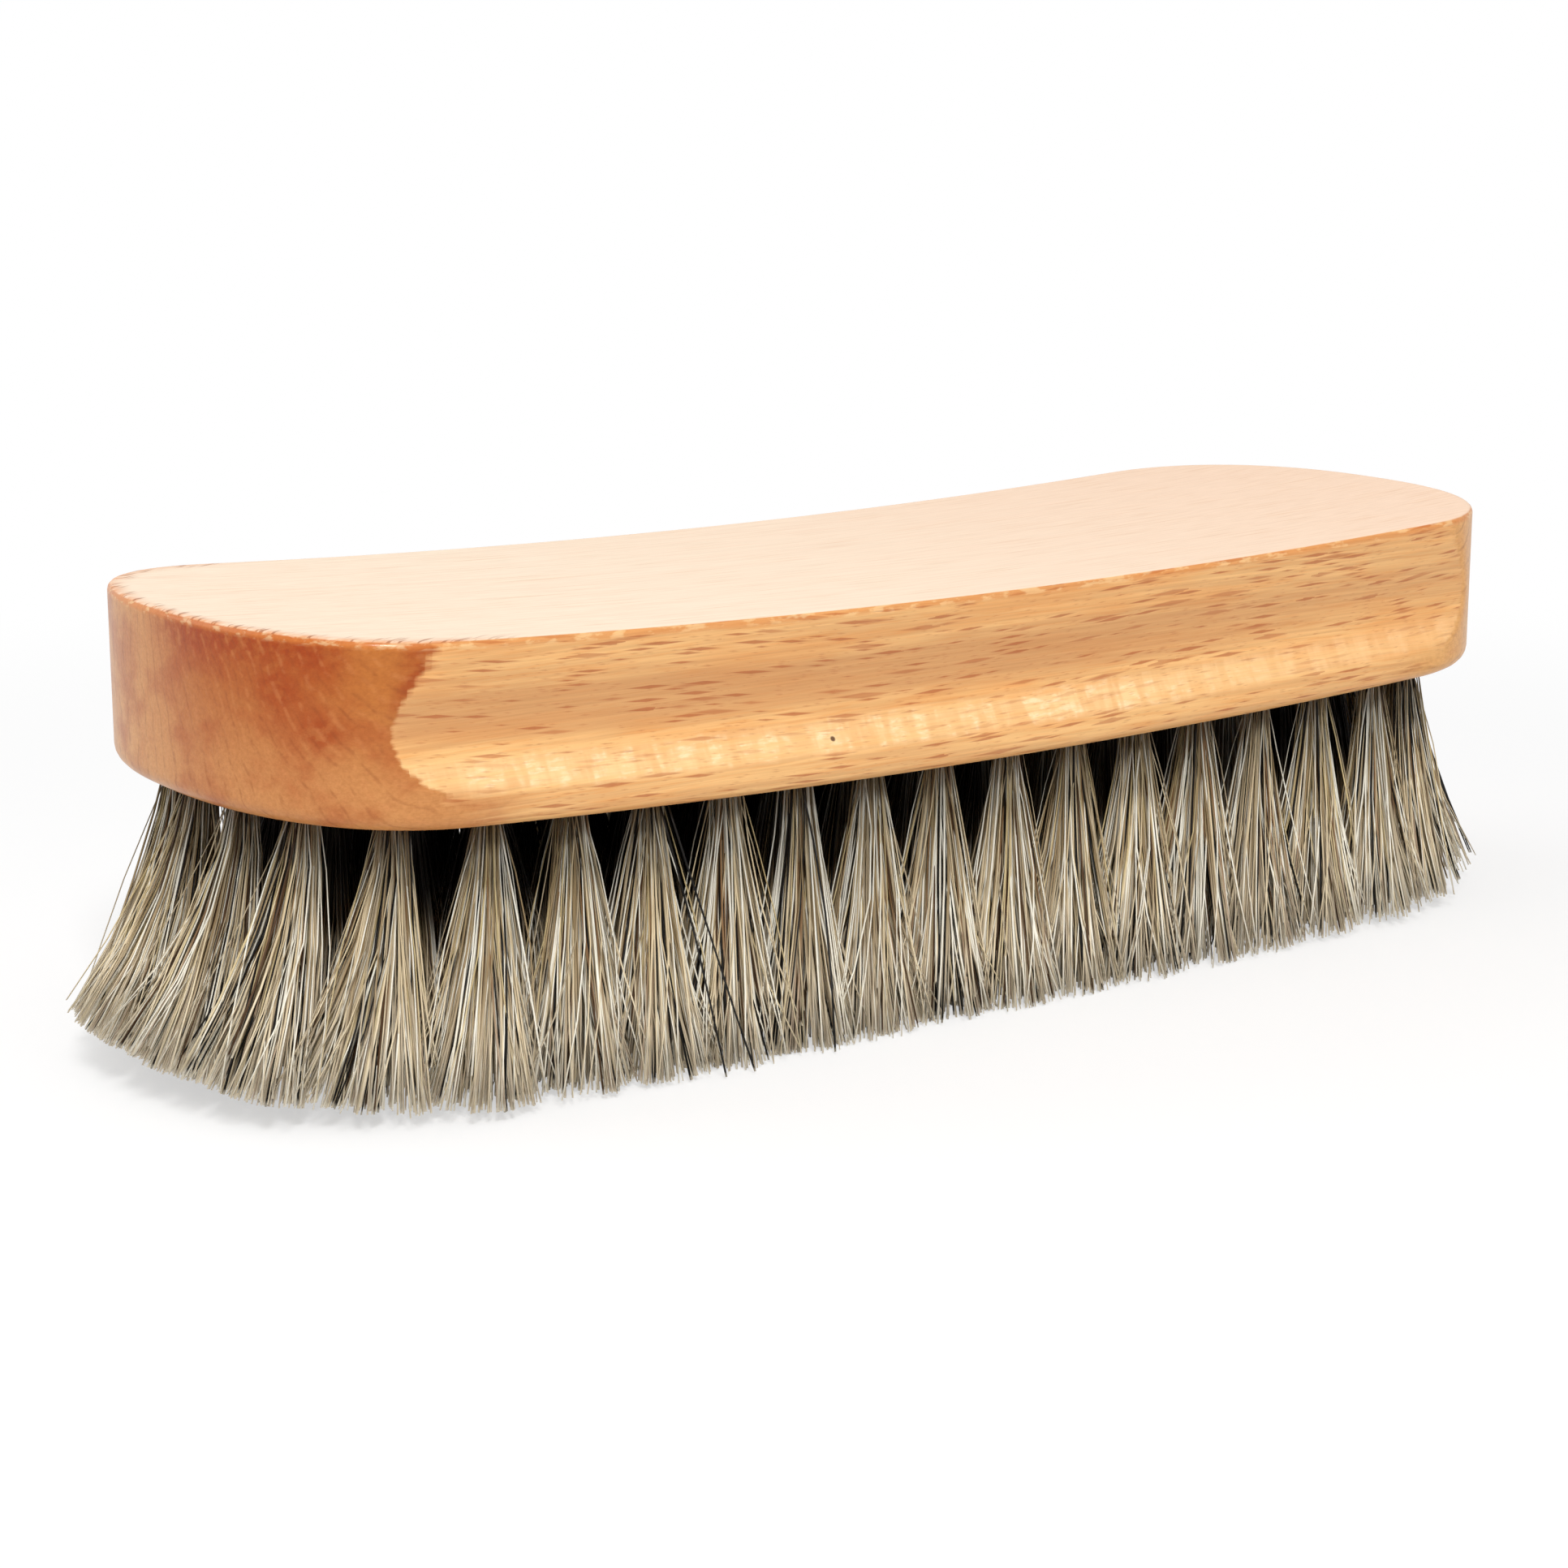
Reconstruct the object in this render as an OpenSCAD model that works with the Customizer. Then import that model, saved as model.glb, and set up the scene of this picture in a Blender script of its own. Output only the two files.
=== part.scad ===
// Shoe shine brush: a bowed and coved beech block, filled with tufts of horsehair.
// Each tuft is folded over a flat steel anchor that is driven into its blind hole.
// Millimetres. X runs along the block, Z is up, and the cut tips stand on Z = 0.

/* [Block] */
// Length of the wooden block
block_l = 180; // [150:1:220]
// Width of the block across its lower edge
block_w = 61.7; // [56:0.1:70]
// Thickness of the block
block_h = 19.8; // [18:0.1:28]
// Length of each rounded end, measured along the block
end_l = 21.7; // [14:0.1:28]
// Squareness of the rounded ends, where 2 is an ellipse
end_power = 2.3; // [2:0.1:3.5]
// Radius of the lengthwise bow of the underside, which lifts both ends
bow_r = 1400; // [700:10:4000]
// Rounding of the lower long edges
edge_r = 2; // [0.5:0.1:4]

/* [Finger cove] */
// Depth of the cove that is moulded into each long side
cove_depth = 2.3; // [1:0.1:2.6]
// Radius of the cove's hollow
cove_r = 9; // [6:0.1:12]
// Distance of the cove's deepest line below the top face
cove_mid = 9.6; // [8:0.1:11.5]

/* [Tuft holes] */
// Diameter of the blind holes
hole_d = 4.2; // [3:0.1:5]
// Depth of the blind holes
hole_depth = 8.5; // [6:0.1:11]
// Distance from the block's long sides to the centres of the outer holes
hole_inset = 5.2; // [4.6:0.1:7]
// Distance from the block's ends to the centres of the outer holes
end_inset = 7.5; // [4.6:0.1:9]
// Distance between neighbouring holes along a ring
tuft_pitch = 9.8; // [8:0.1:12]
// Corner radius of the outer ring of holes
ring_corner_r = 20; // [8:0.5:20]

/* [Hair] */
// Length of hair below the block at mid length, before the standing tips are cut
hair_l = 30.6; // [22:0.1:40]
// Depth of the flat cut on the tips that the brush stands on
trim = 0.5; // [0.5:0.1:2]
// How far the last tufts lean outward at each end
end_splay = 7; // [2:0.1:9]
// How quickly the lean grows towards the ends
splay_power = 6; // [3:1:10]
// How far the outer rows lean outward at each side
side_splay = 1.4; // [0:0.1:5]
// Strands in each tuft of the outer ring
outer_strands = 6; // [3:1:6]
// Strands in each tuft of the middle ring
middle_strands = 4; // [3:1:6]
// Strands in each tuft of the inner ring
inner_strands = 3; // [3:1:6]
// Width of a strand at its tip, where the hair spreads, as a share of its root
tip_share = 1.2; // [0.4:0.1:1.6]
// Gap between the strands of neighbouring tufts at the tips
strand_gap = 0.8; // [0.4:0.1:2]

/* [Anchors] */
// Thickness of the flat steel anchor
anchor_t = 0.4; // [0.2:0.05:0.8]
// Height of the anchor
anchor_h = 1.8; // [1:0.1:3]
// How far each end of the anchor bites into the wood
anchor_bite = 0.45; // [0.2:0.05:0.8]
// Thickness of the hair that folds over the anchor
fold_h = 1.2; // [0.6:0.1:2]

/* [Fits] */
// Clearance of the packed hair in its hole
hair_fit = 0.05; // [0.02:0.01:0.15]
// Clearance of the anchor in the wood and in the fold
anchor_fit = 0.02; // [0.01:0.01:0.05]

/* [Hidden] */
RINGS = ["outer", "middle", "inner"];
SIDES = ["front_row", "right_end", "back_row", "left_end"];

$fn = 48;
bow_fn = 256;
arc_steps = 10;
edge_steps = 5;
end_steps = 18;
over = 1;
wood = [0.87, 0.64, 0.40];
hair = [0.74, 0.70, 0.62];
steel = [0.66, 0.67, 0.69];

half_w = block_w / 2;
half_l = block_l / 2;
under_z = hair_l - trim;
anchor_l = hole_d + 2 * anchor_bite;
plug_r = hole_d / 2 - hair_fit;
ring_l = half_l - end_inset;
ring_w = half_w - hole_inset;
row_pitch = 2 * ring_w / (2 * len(RINGS) - 1);
strand_counts = [outer_strands, middle_strands, inner_strands];
fan_r = (min(tuft_pitch, row_pitch) - strand_gap) / 2;

// How far the bow lifts the block's underside at a distance x from mid length
function rise(x) = bow_r - sqrt(bow_r * bow_r - x * x);
function mouth_z(x) = under_z + rise(x);
function tip_z(x) = max(0, rise(x) - trim);

function arc(centre, r, a0, a1, steps) =
    [for (i = [0:steps]) let (a = a0 + (a1 - a0) * i / steps) centre + r * [cos(a), sin(a)]];

// Half of the section across the block: x runs down from the top face, y out to one side
cove_centre = [cove_mid, half_w + cove_r - cove_depth];
arris = [0, half_w];
to_arris = arris - cove_centre;
cove_a0 = atan2(to_arris[1], to_arris[0]) + acos(cove_r / norm(to_arris));
cove_a1 = -asin((cove_r - cove_depth) / cove_r);
half_section = concat(
    [arris],
    arc(cove_centre, cove_r, cove_a0, cove_a1, arc_steps),
    arc([block_h - edge_r, half_w - edge_r], edge_r, 90, 0, edge_steps)
);

// One rounded end in plan, from the far side round to the near side
function end_point(a) =
    [half_l - end_l + end_l * pow(cos(a), 2 / end_power), half_w * pow(sin(a), 2 / end_power)];
quarter = [for (i = [0:end_steps]) end_point(90 * (1 - i / end_steps))];
right_end = concat(quarter, [for (i = [end_steps - 1:-1:0]) [quarter[i][0], -quarter[i][1]]]);
plan = concat(right_end, [for (i = [len(right_end) - 1:-1:0]) [-right_end[i][0], right_end[i][1]]]);

// Ring k of the tufts is a rounded rectangle; these give its half length, half width and corner
function ring_size(k) = [ring_l - k * row_pitch, ring_w - k * row_pitch, max(0, ring_corner_r - k * row_pitch)];
function quarter_length(q) = (q[0] - q[2]) + (q[1] - q[2]) + PI * q[2] / 2;
function tuft_count(k) = 2 * round(2 * quarter_length(ring_size(k)) / tuft_pitch);

// A point of the ring at the distance u from the middle of a long side, in the first quadrant
function quarter_point(q, u) =
    let (run = q[0] - q[2], bend = PI * q[2] / 2)
    u <= run ? [u, q[1]]
    : u < run + bend ? let (a = 90 - (u - run) / bend * 90) [run + q[2] * cos(a), q[1] - q[2] + q[2] * sin(a)]
    : [q[0], q[1] - q[2] - (u - run - bend)];

// The place of tuft i of ring k; the rings are staggered by half a step
function tuft_place(k, i) =
    let (
        q = ring_size(k),
        whole = quarter_length(q),
        stagger = k % 2 == 0 ? 0.5 : 0,
        s = (i + stagger) * 4 * whole / tuft_count(k),
        part = floor(s / whole),
        u = part % 2 == 0 ? s - part * whole : (part + 1) * whole - s,
        p = quarter_point(q, u)
    )
    [p[0] * (part < 2 ? 1 : -1), p[1] * (part == 0 || part == 3 ? -1 : 1)];

// Which of the SIDES a place belongs to
function side_of(k, p) =
    let (q = ring_size(k))
    abs(p[0]) >= q[0] - q[2] ? (p[0] > 0 ? 1 : 3) : (p[1] < 0 ? 0 : 2);
function places(k, side) =
    [for (i = [0:tuft_count(k) - 1]) let (p = tuft_place(k, i)) if (side_of(k, p) == side) p];

// Where the middle of a tuft's fan ends up, leaned outward from its hole
function fan_place(p) =
    [p[0] + sign(p[0]) * end_splay * pow(abs(p[0]) / ring_l, splay_power), p[1] + side_splay * p[1] / ring_w];

// The bowed moulding, swept round an axis far above the block
module moulding() {
    half_angle = asin((half_l + over) / (bow_r - block_h));
    translate([0, 0, under_z + bow_r])
        rotate([90, 0, 0])
            rotate([0, 0, -90 - half_angle])
                rotate_extrude(angle = 2 * half_angle, $fn = bow_fn)
                    translate([bow_r - block_h, 0])
                        polygon(concat(half_section, [for (i = [len(half_section) - 1:-1:0])
                            [half_section[i][0], -half_section[i][1]]]));
}

// A blind hole with the seat that the anchor's ends bite into
module hole(p) {
    translate([p[0], p[1], mouth_z(p[0]) - over])
        cylinder(d = hole_d, h = hole_depth + over);
    anchor_at(p, anchor_fit);
}

module anchor_at(p, fit) {
    z = mouth_z(p[0]) + hole_depth - fold_h - anchor_h / 2;
    translate([p[0], p[1], z])
        cube([anchor_l + 2 * fit, anchor_t + 2 * fit, anchor_h + 2 * fit], center = true);
}

// One tuft: a packed plug that fills its hole, splitting at the mouth into n tapered strands
module tuft(p, n) {
    m = 2 * n;
    mouth = mouth_z(p[0]);
    fan = fan_place(p);
    rim = [for (i = [0:m - 1]) plug_r * [cos(360 * i / m), sin(360 * i / m)]];
    roots = [for (j = [0:n - 1]) [[0, 0], rim[2 * j], rim[2 * j + 1], rim[(2 * j + 2) % m]]];
    tips = [for (root = roots) let (
        middle = (root[0] + root[1] + root[2] + root[3]) / 4,
        out = middle / norm(middle),
        reach = fan_r - (plug_r - norm(middle)) * tip_share,
        tip = fan + out * reach
    ) for (v = root) let (q = tip + (v - middle) * tip_share) [q[0], q[1], tip_z(tip[0])]];
    points = concat(
        [for (v = rim) [p[0] + v[0], p[1] + v[1], mouth + hole_depth]],
        [for (v = rim) [p[0] + v[0], p[1] + v[1], mouth]],
        [[p[0], p[1], mouth]],
        tips
    );
    core = 2 * m;
    root_ids = [for (j = [0:n - 1]) [core, m + 2 * j, m + 2 * j + 1, m + (2 * j + 2) % m]];
    faces = concat(
        [for (i = [1:m - 2]) [0, i + 1, i]],
        [for (i = [0:m - 1]) [m + i, i, (i + 1) % m]],
        [for (i = [0:m - 1]) [m + i, (i + 1) % m, m + (i + 1) % m]],
        [for (j = [0:n - 1]) for (e = [0:3]) [core + 1 + 4 * j + e, root_ids[j][e], root_ids[j][(e + 1) % 4]]],
        [for (j = [0:n - 1]) for (e = [0:3])
            [core + 1 + 4 * j + e, root_ids[j][(e + 1) % 4], core + 1 + 4 * j + (e + 1) % 4]],
        [for (j = [0:n - 1]) for (e = [1:2]) [core + 1 + 4 * j, core + 1 + 4 * j + e, core + 2 + 4 * j + e]]
    );
    difference() {
        polyhedron(points, faces);
        anchor_at(p, anchor_fit);
    }
}

module block() {
    color(wood)
        difference() {
            intersection() {
                moulding();
                linear_extrude(under_z + block_h + rise(half_l) + over)
                    polygon(plan);
            }
            for (k = [0:len(RINGS) - 1])
                for (i = [0:tuft_count(k) - 1])
                    hole(tuft_place(k, i));
        }
}

module tufts(k, side) {
    color(hair)
        for (p = places(k, side))
            tuft(p, strand_counts[k]);
}

module anchors(k, side) {
    color(steel)
        for (p = places(k, side))
            anchor_at(p, 0);
}

block();
for (k = [0:len(RINGS) - 1])
    for (side = [0:len(SIDES) - 1]) {
        tufts(k, side);
        anchors(k, side);
    }
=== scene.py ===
# Shoe shine brush: a lacquered beech block with tufts of horsehair, on a plain white sweep.
# X runs along the block, Z up, and the hair's tips stand on Z = 0.
import math
import random
import bpy
import bmesh
from mathutils import Matrix, Vector


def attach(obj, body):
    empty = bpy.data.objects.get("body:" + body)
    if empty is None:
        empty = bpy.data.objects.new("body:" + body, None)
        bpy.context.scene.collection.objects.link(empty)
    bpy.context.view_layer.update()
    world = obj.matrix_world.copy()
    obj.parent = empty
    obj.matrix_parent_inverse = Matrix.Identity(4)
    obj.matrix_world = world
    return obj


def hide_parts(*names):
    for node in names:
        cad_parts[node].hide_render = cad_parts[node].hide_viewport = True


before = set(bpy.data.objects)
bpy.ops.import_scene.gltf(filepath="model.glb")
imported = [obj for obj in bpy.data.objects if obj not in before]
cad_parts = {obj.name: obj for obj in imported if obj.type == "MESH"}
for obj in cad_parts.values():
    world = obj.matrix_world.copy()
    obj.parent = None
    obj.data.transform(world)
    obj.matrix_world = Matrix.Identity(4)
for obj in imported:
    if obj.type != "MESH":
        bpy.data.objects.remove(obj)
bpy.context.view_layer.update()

mm = 0.001
hairbreadth = 1e-6                # points nearer than this are one point
roundingError = 1e-9
white = (1, 1, 1, 1)


# small helpers for nodes and pieces

def paint(red, green, blue):
    # a colour as read off a screen, 0 to 255, turned into the linear one that the shaders want
    linear = [(c / 255 / 12.92) if c <= 10 else ((c / 255 + 0.055) / 1.055) ** 2.4 for c in (red, green, blue)]
    return (*linear, 1.0)


def addNode(tree, kind, inputs=None, **settings):
    node = tree.nodes.new("ShaderNode" + kind)
    for name, value in settings.items():
        setattr(node, name, value)
    for name, value in (inputs or {}).items():
        if isinstance(value, bpy.types.NodeSocket):
            tree.links.new(value, node.inputs[name])
        else:
            node.inputs[name].default_value = value
    return node


def readAttribute(tree, name):
    return addNode(tree, "Attribute", attribute_name=name).outputs["Fac"]


def calc(tree, operation, *values):
    return addNode(tree, "Math", dict(enumerate(values)), operation=operation).outputs[0]


def multiply(tree, product, *others):
    for other in others:
        product = calc(tree, "MULTIPLY", product, other)
    return product


def spread(tree, value, start, end, low=0.0, high=1.0):
    # eases from low to high while the value goes from start to end
    inputs = {"Value": value, "From Min": start, "From Max": end, "To Min": low, "To Max": high}
    return addNode(tree, "MapRange", inputs, interpolation_type="SMOOTHSTEP").outputs["Result"]


def band(tree, value, start, full, fade, end):
    # rises from start to full, and falls again from fade to end
    return multiply(tree, spread(tree, value, start, full), spread(tree, value, end, fade))


def blendColours(tree, factor, first, second, how="MIX"):
    return addNode(tree, "Mix", {0: factor, 6: first, 7: second}, data_type="RGBA", blend_type=how).outputs[2]


def colourRamp(tree, factor, stops, interpolation="LINEAR"):
    ramp = addNode(tree, "ValToRGB", {"Fac": factor})
    ramp.color_ramp.interpolation = interpolation
    elements = ramp.color_ramp.elements
    while len(elements) < len(stops):
        elements.new(1.0)
    for element, (position, colour) in zip(elements, stops):
        element.position = position
        element.color = colour
    return ramp.outputs["Color"]


def startMaterial(name, **sockets):
    material = bpy.data.materials.new(name)
    material.use_nodes = True
    tree = material.node_tree
    shader = tree.nodes["Principled BSDF"]
    for socket, value in sockets.items():
        shader.inputs[socket.replace("_", " ")].default_value = value
    return material, tree, shader


def meshFrom(bm, name):
    mesh = bpy.data.meshes.new(name)
    bm.to_mesh(mesh)
    bm.free()
    return mesh


def addObject(name, data):
    added = bpy.data.objects.new(name, data)
    bpy.context.collection.objects.link(added)
    return added


def finishPiece(bm, name, node, material):
    mesh = meshFrom(bm, name)
    mesh.materials.append(material)
    piece = addObject(name, mesh)
    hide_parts(node)
    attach(piece, "root")
    print(name, "faces:", len(mesh.polygons))


# the beech block

block = {
    "length": 180 * mm,
    "width": 61.7 * mm,
    "height": 19.8 * mm,
    "endLength": 21.7 * mm,       # how much of the length each rounded end takes
    "endPower": 2.3,              # 2 makes an end an ellipse, more makes it squarer
    "bowRadius": 1400 * mm,
    "underside": 30.1 * mm,       # height of the underside over the table, at the middle
    "coveDepth": 2.3 * mm,
    "coveRadius": 9 * mm,
    "coveMiddle": 9.6 * mm,       # below the top
    "arrisRound": 0.7 * mm,
    "arrisSegments": 3,
    "lowerRound": 2 * mm,
    "lowerSegments": 5,
    "flatMargin": 0.5 * mm,       # a strip of flat face inside each rounded edge
    "creaseSoftness": 0.7 * mm,   # where the moulding runs out into the end grain
    "sideSteps": 20,
    "endSteps": 40,
    # rings of edges round the moulding, in mm below the top
    "ringDepths": (1.6, 3, 4.6, 6, 6.8, 7.4, 8, 8.6, 9.2, 9.8, 10.4, 11, 11.6, 12.2, 12.8, 13.4, 14, 14.5,
                   14.9, 15.2, 15.5, 15.8, 16.2, 16.8),
    # columns of edges in an end: close together where the cove runs out, then wider towards the nose
    "runOutStep": 0.6 * mm,
    "runOutColumns": (2, 20),
    "noseStart": 14 * mm,
    "noseStep": 2.5 * mm,
    "noseColumns": 3,
}
halfLength = block["length"] / 2
halfWidth = block["width"] / 2
straightLength = halfLength - block["endLength"]
bowAxis = block["underside"] + block["bowRadius"]
topRadius = block["bowRadius"] - block["height"]

# the straight lean from the arris meets the cove's arc at a tangent
coveInset = block["coveRadius"] - block["coveDepth"]
coveReach = math.hypot(block["coveMiddle"], coveInset)
coveLean = math.atan2(coveInset, block["coveMiddle"]) - math.asin(block["coveRadius"] / coveReach)
leanEnd = math.sqrt(coveReach ** 2 - block["coveRadius"] ** 2) * math.cos(coveLean)


def bowRise(x):
    return block["bowRadius"] - math.sqrt(block["bowRadius"] ** 2 - x * x)


def heightAt(x, depth):
    return bowAxis - math.sqrt((topRadius + depth) ** 2 - x * x)


def sideAt(depth):
    # how far out the moulded side stands at a depth below the top
    fromMiddle = depth - block["coveMiddle"]
    if depth < leanEnd:
        return halfWidth + depth * math.tan(coveLean)
    if abs(fromMiddle) >= block["coveRadius"]:
        return 2 * halfWidth      # under the cove nothing is cut away
    return halfWidth + coveInset - math.sqrt(block["coveRadius"] ** 2 - fromMiddle ** 2)


def softMin(first, second, softness):
    overlap = max(softness - abs(first - second), 0) / softness
    return min(first, second) - overlap * overlap * softness / 4


def outlinePoint(angle):
    # a point of a circle, moved to its place on the block's plan
    steps = block["sideSteps"] + block["endSteps"]
    step = math.degrees(math.atan2(abs(math.sin(angle)), abs(math.cos(angle)))) / 90 * steps
    if step <= block["endSteps"]:
        turn = math.radians(90 * step / block["endSteps"])
        x = straightLength + block["endLength"] * max(math.cos(turn), 0) ** (2 / block["endPower"])
        y = halfWidth * max(math.sin(turn), 0) ** (2 / block["endPower"])
    else:
        x = straightLength * (1 - (step - block["endSteps"]) / block["sideSteps"])
        y = halfWidth
    return Vector((math.copysign(x, math.cos(angle)), math.copysign(y, math.sin(angle)), 0))


def columnPlaces():
    step = straightLength / block["sideSteps"]
    places = [step * k for k in range(-block["sideSteps"], block["sideSteps"] + 1)]
    runOut = [straightLength + block["runOutStep"] * k for k in range(*block["runOutColumns"])]
    nose = [straightLength + block["noseStart"] + block["noseStep"] * k for k in range(block["noseColumns"])]
    for distances in (runOut, nose):
        places += [end * distance for end in (-1, 1) for distance in distances]
    return places


def makeBlock(material):
    bm = bmesh.new()
    outlineSteps = 4 * (block["sideSteps"] + block["endSteps"])
    bmesh.ops.create_circle(bm, cap_ends=True, radius=1, segments=outlineSteps)
    for vert in bm.verts:
        vert.co = outlinePoint(math.atan2(vert.co.y, vert.co.x))
    grown = bmesh.ops.extrude_face_region(bm, geom=bm.faces[:])
    lower = [item for item in grown["geom"] if isinstance(item, bmesh.types.BMVert)]
    bmesh.ops.translate(bm, verts=lower, vec=(0, 0, -block["height"]))
    bmesh.ops.recalc_face_normals(bm, faces=bm.faces[:])

    # round the arris and the lower edge, then leave a flat margin inside each
    for level, offset, segments in ((0, block["arrisRound"], block["arrisSegments"]),
                                    (-block["height"], block["lowerRound"], block["lowerSegments"])):
        rim = [edge for edge in bm.edges if all(abs(vert.co.z - level) < hairbreadth for vert in edge.verts)]
        bmesh.ops.bevel(bm, geom=rim, offset=offset, offset_type="OFFSET", segments=segments, profile=0.5,
                        affect="EDGES", material=-1)
    caps = [face for face in bm.faces if len(face.verts) >= outlineSteps]
    for cap in caps:
        bmesh.ops.inset_region(bm, faces=[cap], thickness=block["flatMargin"])

    # rings for the moulded side, and columns for the bow and for the cove's run-out
    cuts = [((0, 0, -mm * depth), (0, 0, 1)) for depth in block["ringDepths"]]
    cuts += [((x, 0, 0), (1, 0, 0)) for x in columnPlaces()]
    for point, normal in cuts:
        bmesh.ops.bisect_plane(bm, geom=bm.verts[:] + bm.edges[:] + bm.faces[:], dist=hairbreadth,
                               plane_co=point, plane_no=normal)

    # mould the sides and bow the whole block, and keep each point's depth in mm for the material
    depthLayer = bm.verts.layers.float.new("depth")
    for vert in bm.verts:
        x, y, z = vert.co
        side = softMin(abs(y), sideAt(-z), block["creaseSoftness"])
        vert[depthLayer] = -z / mm
        vert.co = (x, math.copysign(side, y), heightAt(x, -z))
    for face in bm.faces:
        face.smooth = True
    finishPiece(bm, "beech_block", "block", material)


beech = {
    # the top's colour carries painted light: the wood paled as if lit strongly, with a painted haze of reflection
    # on the lacquer
    "top": paint(253, 232, 207),
    "topPeach": paint(251, 219, 192),
    "topGrain": paint(226, 176, 128),
    "rim": paint(222, 138, 68),
    "tick": paint(160, 88, 40),
    "side": paint(241, 190, 126),
    # grey for the side's streaks, and for the painted shade of the upper cove
    "sideGreyAndShade": paint(202, 144, 92),
    "sideOrange": paint(228, 150, 78),
    # the lower cove's painted light, and its painted glints of the lacquer
    "cove": paint(253, 208, 150),
    "coveShine": paint(255, 236, 196),
    "arris": paint(214, 128, 60),
    "arrisChip": paint(250, 214, 160),
    "fleck": paint(174, 88, 44),
    "pore": paint(70, 34, 14),
    "end": paint(178, 99, 40),
    "endHoney": paint(184, 108, 44),
    "endDeep": paint(160, 62, 6),
    # pale end grain low down, and the painted sheen round the nose
    "endPaleAndSheen": paint(214, 156, 98),
    "rightEnd": paint(232, 174, 104),
    "line": paint(136, 64, 22),
    "paleLine": paint(214, 140, 84),
    "speckTint": (0.86, 0.81, 0.76, 1),
    "fineTint": (0.84, 0.80, 0.76, 1),
    # how strongly each layer covers what is under it
    "shares": {
        "sideArris": 0.48, "endArris": 0.6, "pore": 0.9, "lowPale": 0.55, "noseSheen": 0.85, "sideStain": 0.85,
        "stain": 0.9, "rightEnd": 0.85, "lines": 0.3, "paleLines": 0.22, "speck": 0.6, "fine": 0.5,
    },
    # where a layer begins and where it is full, in mm along X, across in Y, below the top or from a point
    "fades": {
        "under": (17.8, 19.7), "sideArris": (1.1, 0.5), "endArris": (1.1, 0.4), "pore": (0.42, 0.2),
        "topPeach": (-50.0, 90.0), "leftEnd": (-60.0, -74.0), "rightEnd": (60.0, 72.0), "honey": (84.0, 79.0),
        "lowPale": (4.0, 18.0), "noseSheen": (-12.0, 8.0), "stainDown": (6.5, 1.2), "stainAlong": (79.5, 83.5),
        "stainAcross": (4.0, -8.0), "sideStainDown": (9.0, 4.0), "lineLean": (12.0, -28.0),
        "creepAlong": (60.0, 72.0), "creepDown": (14.6, 18.0),
    },
    # noises: how often they change in a mm along X, Y and Z, and their detail
    "noises": {
        "streaks": ((0.035, 1.5, 1.8), 5.0),
        "fine": ((0.12, 5.0, 6.0), 3.0),
        "cloud": ((0.07, 0.07, 0.07), 3.0),
        "drift": ((0.02, 0.02, 0.02), 0.0),
        "mottle": ((0.25, 0.9, 0.9), 4.0),
        "grain": ((0.16, 2.6, 3.2), 4.0),
        "warmth": ((0.05, 0.35, 0.35), 2.0),
        "chatter": ((0.6, 0.12, 0.12), 2.0),
        "glint": ((0.5, 1.2, 1.8), 4.0),
        "chips": ((0.5, 0.8, 1.5), 4.0),
        "topLines": ((0.07, 3.2, 1.0), 2.0),
        "blotch": ((0.16, 0.16, 0.22), 5.0),
        "speck": ((1.8, 1.8, 2.2), 2.0),
    },
    # layers that follow a noise: its name, where it begins and is full, the layer's share and its colour
    "sideLayers": [("streaks", 0.36, 0.62, 0.45, "sideGreyAndShade"), ("grain", 0.5, 0.64, 0.3, "sideOrange"),
                   ("warmth", 0.46, 0.68, 0.35, "sideOrange")],
    "arrisLayers": [("chips", 0.5, 0.64, 0.8, "arrisChip")],
    "topLayers": [("streaks", 0.4, 0.64, 0.35, "topPeach"), ("topLines", 0.56, 0.72, 0.4, "topGrain")],
    "endLayers": [("blotch", 0.42, 0.68, 0.45, "endDeep")],
    # bands of painted shade and painted light along the side, in mm below the top: start, full from, full to and
    # end
    "paintedShadeBand": (3.5, 6.5, 9.5, 12.0),
    "paintedLightBand": (11.8, 13.8, 15.2, 16.6),
    # marks: mm between them along and across, the share of places that have one, their size and strength
    "longFlecks": {"pitch": 6.4, "height": 0.5, "keep": 0.3, "size": 0.62, "share": 0.68},
    "broadFlecks": {"pitch": 9.0, "height": 0.75, "keep": 0.2, "size": 0.6, "share": 0.5},
    "smallFlecks": {"pitch": 1.8, "height": 0.24, "keep": 0.25, "size": 0.6, "share": 0.25},
    "ticks": {"pitch": 7.0, "height": 0.6, "keep": 0.55, "size": 0.7, "share": 0.75},
    "fleckDrift": 6.0,            # mm that a row of flecks wanders up and down
    "behindShift": 50.0,          # mm along, so that the back has flecks of its own
    "broadShift": 23.0,           # mm along, so that broad and long ones don't follow each other
    # the painted light of the lower cove washes out the large flecks
    "bandClears": 0.65,           # how much the bright band takes from the large flecks
    "tickSlant": 0.67,
    "poreAt": (-23.3, -30.0, 35.6),
    "stains": [                   # darker spots in the end grain, by place and reach in mm
        {"at": (-83.4, -24.2, 42.6), "reach": 4.2},
        {"at": (-73.6, -30.4, 50.2), "reach": 3.6},
        {"at": (-86.0, -20.0, 47.0), "reach": 5.0},
    ],
    "linePitch": 2.3,             # mm between the slanted lines of the end grain
    "lineLean": -0.6,             # mm sideways for each mm up, at the front
    "lineMiddle": 42.0,           # the height in mm that they lean about
    "lineWander": 8.0,
    "topFacing": (0.72, 0.93),    # how far upwards a face looks where the top's colours begin and are full
    "endFacing": (0.08, 0.2),     # and how far lengthwise where the end grain's do
    "borderRagged": 0.25,         # how ragged its border with the side is, as a turn of the face
    "creepRagged": 12.0,          # and in mm, low on the side
    "coat": (0.25, 0.05),         # lacquer and roughness, each for the sides and for the top
    "roughness": (0.4, 0.55),
    "bumpStrength": 0.35,
    "bumpHeight": 0.06 * mm,
}


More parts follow.
